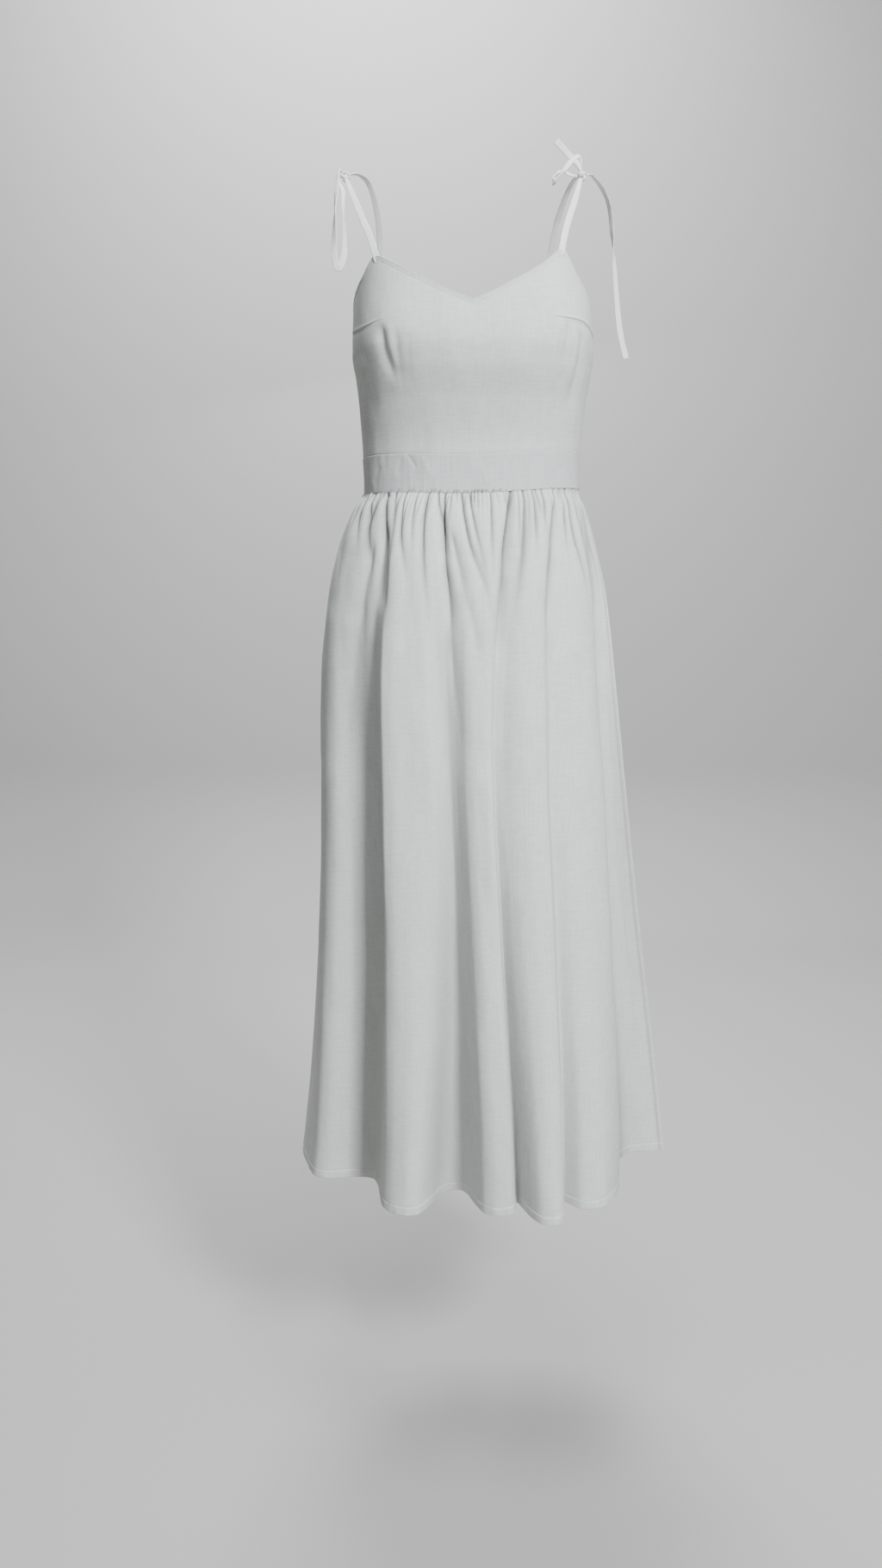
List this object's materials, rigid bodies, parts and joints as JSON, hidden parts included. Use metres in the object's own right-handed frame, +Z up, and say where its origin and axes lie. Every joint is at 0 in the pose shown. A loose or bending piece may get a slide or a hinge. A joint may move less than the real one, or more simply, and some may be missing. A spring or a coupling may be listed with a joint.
{
  "type": "midi dress",
  "caption": "White sleeveless midi dress in worn hollow form: V-neck bodice, tie straps, flat waistband and a gathered skirt falling in soft folds.",
  "frame": {"origin": "midway between the tops of the two shoulder ties, at the height where a wearer's shoulders carry the dress", "axes": "+Z up, -Y the dress's front, +X to the viewer's right; left and right in node names are the viewer's"},
  "size_m": [0.453, 0.3733, 1.182],
  "materials": {
    "bodice_cloth": "matt plain weave with a soft sheen",
    "waistband_cloth": "matt plain weave with a soft sheen",
    "skirt_cloth": "matt plain weave with a soft sheen",
    "tie_cloth": "matt plain weave, pressed flat"
  },
  "bodies": {
    "root": {"bodice_front": "bodice_cloth", "bodice_back": "bodice_cloth", "waistband_front": "waistband_cloth", "waistband_back": "waistband_cloth", "skirt_front": "skirt_cloth", "skirt_back": "skirt_cloth", "strap_front_left": "tie_cloth", "strap_front_right": "tie_cloth", "strap_back_left": "tie_cloth", "strap_back_right": "tie_cloth", "knot_left": "tie_cloth", "knot_right": "tie_cloth", "loop_left": "tie_cloth", "bow_loop_right": "tie_cloth", "free_end_right": "tie_cloth", "tail_right": "tie_cloth"}
  },
  "joints": []
}
